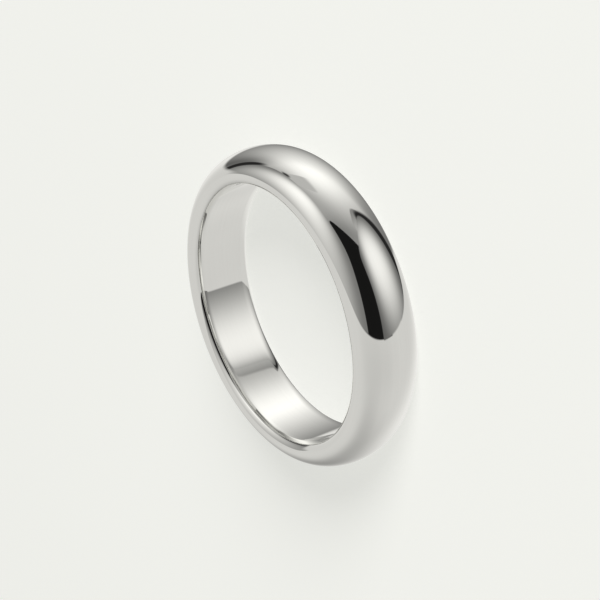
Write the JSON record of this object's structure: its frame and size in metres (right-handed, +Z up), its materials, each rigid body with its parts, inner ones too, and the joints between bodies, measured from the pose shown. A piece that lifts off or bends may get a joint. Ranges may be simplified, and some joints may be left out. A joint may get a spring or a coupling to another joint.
{
  "type": "chunky dome band ring",
  "caption": "Plain chunky finger ring in polished white metal, with a domed outside, rounded edges and a flat bore wall that eases into them.",
  "frame": {"origin": "on the ring's axis, in the plane that it rests on when it lies on its side", "axes": "+Z up, along the finger and the ring's axis; +X and +Y lie in the plane of the hoop, which is round, so they are alike"},
  "size_m": [0.0214, 0.0212, 0.0044],
  "materials": {
    "polished_silver": "sterling silver, mirror-polished"
  },
  "bodies": {
    "root": {"band": "polished_silver"}
  },
  "joints": []
}
